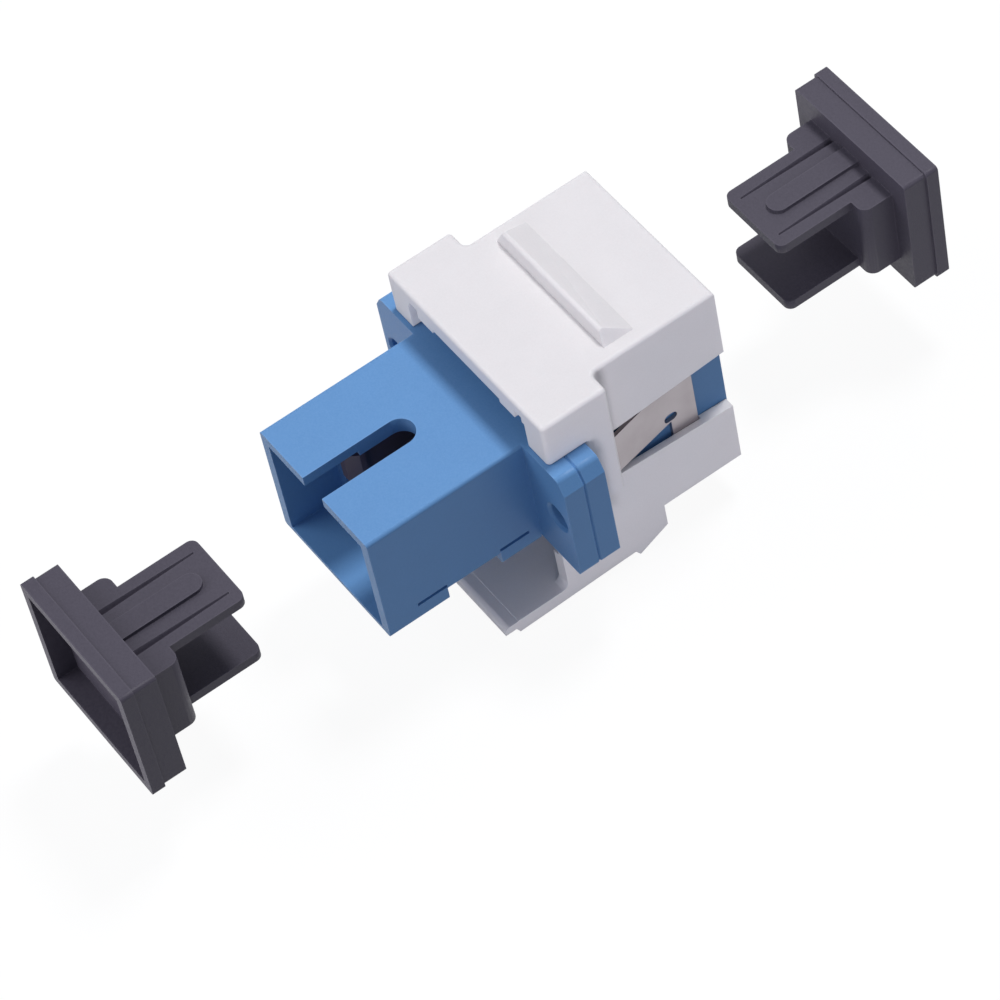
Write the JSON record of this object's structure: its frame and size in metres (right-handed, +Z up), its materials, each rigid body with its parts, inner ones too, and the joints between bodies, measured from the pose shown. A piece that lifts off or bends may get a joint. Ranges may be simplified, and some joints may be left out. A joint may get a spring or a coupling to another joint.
{
  "type": "keystone fibre coupler",
  "caption": "Flanged simplex fibre adapter held in a snap-in keystone frame, with a dust cap pulled off each port.",
  "frame": {"origin": "centre of the alignment sleeve, on the optical axis and midway between the two ports", "axes": "+Y along the optical axis, out of the port at the panel's face; +Z up, on the side of the key slots; +X across the flange"},
  "size_m": [0.022, 0.0668, 0.0221],
  "materials": {
    "blue_plastic": "satin moulded",
    "white_plastic": "satin moulded",
    "insert_plastic": "natural moulded",
    "ceramic": "ground ceramic",
    "spring_steel": "rolled sheet",
    "cap_plastic": "fine matt moulded"
  },
  "bodies": {
    "coupler": {"rear_housing": "blue_plastic", "front_housing": "blue_plastic", "rear_latch_insert": "insert_plastic", "front_latch_insert": "insert_plastic", "alignment_sleeve": "ceramic", "spring_clip": "spring_steel", "keystone_frame": "white_plastic"},
    "rear_cap": {"rear_dust_cap": "cap_plastic"},
    "front_cap": {"front_dust_cap": "cap_plastic"}
  },
  "joints": [
    {"name": "rear_cap_slide", "type": "slide", "parent": "coupler", "child": "rear_cap", "axis": [0, 1, 0], "range_m": [0, 0.01635]},
    {"name": "front_cap_slide", "type": "slide", "parent": "coupler", "child": "front_cap", "axis": [0, -1, 0], "range_m": [0, 0.01635]}
  ]
}
